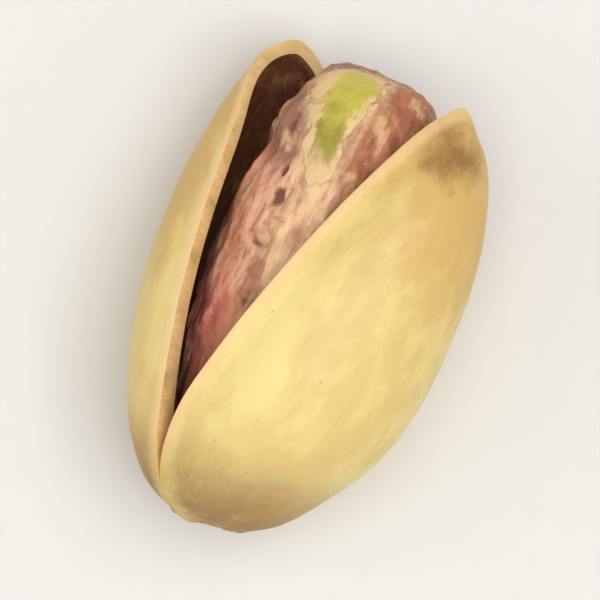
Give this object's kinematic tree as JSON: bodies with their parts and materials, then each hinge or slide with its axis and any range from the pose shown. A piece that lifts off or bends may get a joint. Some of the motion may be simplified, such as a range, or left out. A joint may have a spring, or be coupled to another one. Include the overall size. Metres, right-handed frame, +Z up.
{
  "type": "pistachio in shell",
  "caption": "Roasted pistachio in its split cream shell, lying on its side, with the purple-brown skinned green kernel showing in the gap.",
  "frame": {"origin": "centre of the bounding box in plan, on the surface that the nut lies on", "axes": "+X from the stem end to the open tips, +Z up, the wide split facing up and towards +Y"},
  "size_m": [0.0198, 0.0124, 0.0115],
  "materials": {
    "shell": "dry, smooth, eggshell sheen",
    "kernel": "papery skin, slightly waxy"
  },
  "bodies": {
    "root": {"shell": "shell", "kernel": "kernel"}
  },
  "joints": []
}
